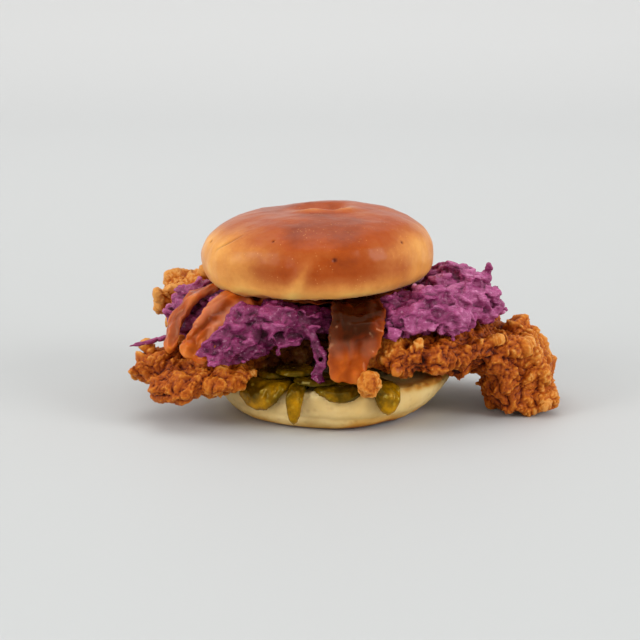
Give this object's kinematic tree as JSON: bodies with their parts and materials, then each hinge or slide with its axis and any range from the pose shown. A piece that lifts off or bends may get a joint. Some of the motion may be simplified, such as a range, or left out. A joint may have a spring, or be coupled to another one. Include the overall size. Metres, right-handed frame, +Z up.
{
  "type": "fried chicken sandwich",
  "caption": "Split brioche bun filled with craggy fried chicken that hangs out at both sides, creamy red cabbage slaw, pickle slices and a thick amber sauce",
  "frame": {"origin": "centre of the bun's flat underside, on the surface it stands on", "axes": "+X to the diner's right along the chicken, -Y to the diner, +Z up"},
  "size_m": [0.2003, 0.1193, 0.0937],
  "materials": {
    "brioche_crust": "baked golden brown crust with a satin egg glaze, darker patches and a pale rim",
    "bread_side": "soft cream coloured bread with a browned lower edge",
    "fried_batter": "craggy golden orange fried batter with dark crevices",
    "creamy_slaw": "moist shredded red cabbage in a thin creamy dressing",
    "amber_sauce": "glossy translucent amber sauce",
    "pickle_flesh": "wet translucent olive pickle"
  },
  "bodies": {
    "root": {"bun_base": "bread_side", "bun_top": "brioche_crust", "chicken_left": "fried_batter", "chicken_right": "fried_batter", "lone_crumb": "fried_batter", "pickle_1": "pickle_flesh", "pickle_2": "pickle_flesh", "pickle_3": "pickle_flesh", "pickle_4": "pickle_flesh", "pickle_5": "pickle_flesh", "pickle_6": "pickle_flesh", "pickle_7": "pickle_flesh", "pickle_8": "pickle_flesh", "pickle_9": "pickle_flesh", "sauce": "amber_sauce", "slaw": "creamy_slaw"}
  },
  "joints": []
}
